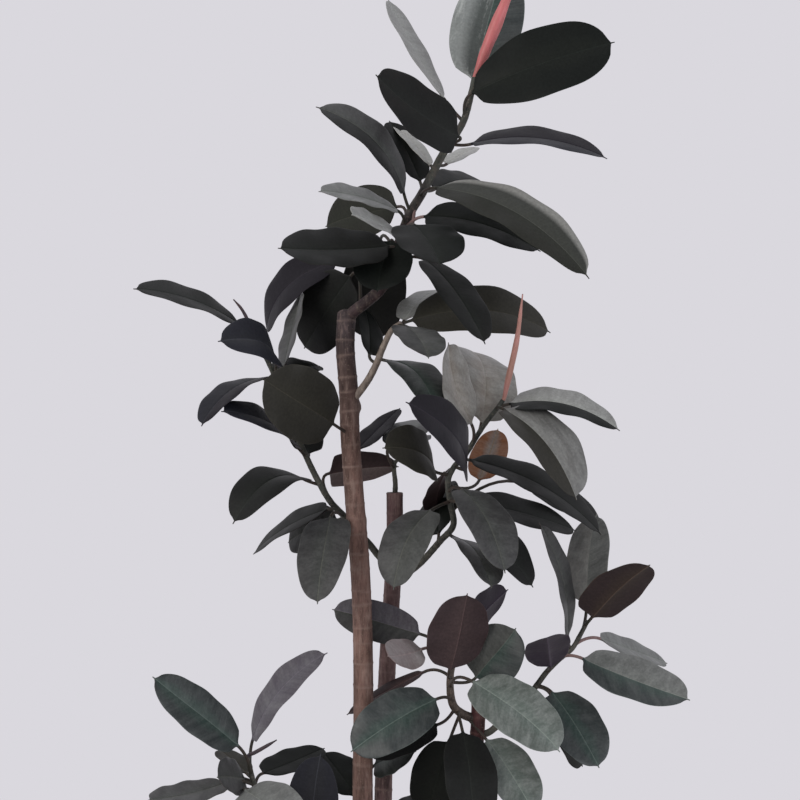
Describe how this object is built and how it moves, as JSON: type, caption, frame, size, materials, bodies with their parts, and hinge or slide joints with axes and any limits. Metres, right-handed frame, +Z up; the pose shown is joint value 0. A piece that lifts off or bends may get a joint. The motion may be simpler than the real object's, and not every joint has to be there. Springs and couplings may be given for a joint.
{
  "type": "potted rubber plant",
  "caption": "Tall rubber plant in a plain round pot of soil: bare woody trunks, leafy shoots with thick glossy dark leaves, and slim pointed red sheaths that hold the next leaves.",
  "frame": {"origin": "centre of the pot's flat base", "axes": "+Z up, +X to the right as seen from the front, +Y away from the viewer"},
  "size_m": [0.7884, 0.4316, 1.9219],
  "materials": {
    "pot": "matt, fired clay with a thin pale grey slip",
    "soil": "loose bark-based potting mix",
    "bark": "matt grey-brown bark with ring scars",
    "foliage": "thick waxy leaves, glossy dark green above and burgundy beneath",
    "withered_leaf": "dry, orange brown",
    "sheath": "smooth pink-red skin"
  },
  "bodies": {
    "root": {"pot": "pot", "soil": "soil", "main_trunk": "bark", "second_trunk": "bark", "third_trunk": "bark", "leader_shoot": "foliage", "upper_right_shoot": "foliage", "left_shoot": "foliage", "cut_trunk_shoot": "foliage", "right_shoot": "foliage", "lower_middle_shoot": "foliage", "lower_right_shoot": "foliage", "lower_left_shoot": "foliage", "trunk_leaf_front": "foliage", "trunk_leaf_back": "foliage", "trunk_leaf_low_right": "foliage", "trunk_leaf_low_left": "foliage", "trunk_leaf_hidden_right": "foliage", "trunk_leaf_hidden_back": "foliage", "withered_leaf": "withered_leaf", "spear_top": "sheath", "spear_right": "sheath", "spear_lower_left": "sheath", "spear_left": "sheath"}
  },
  "joints": []
}
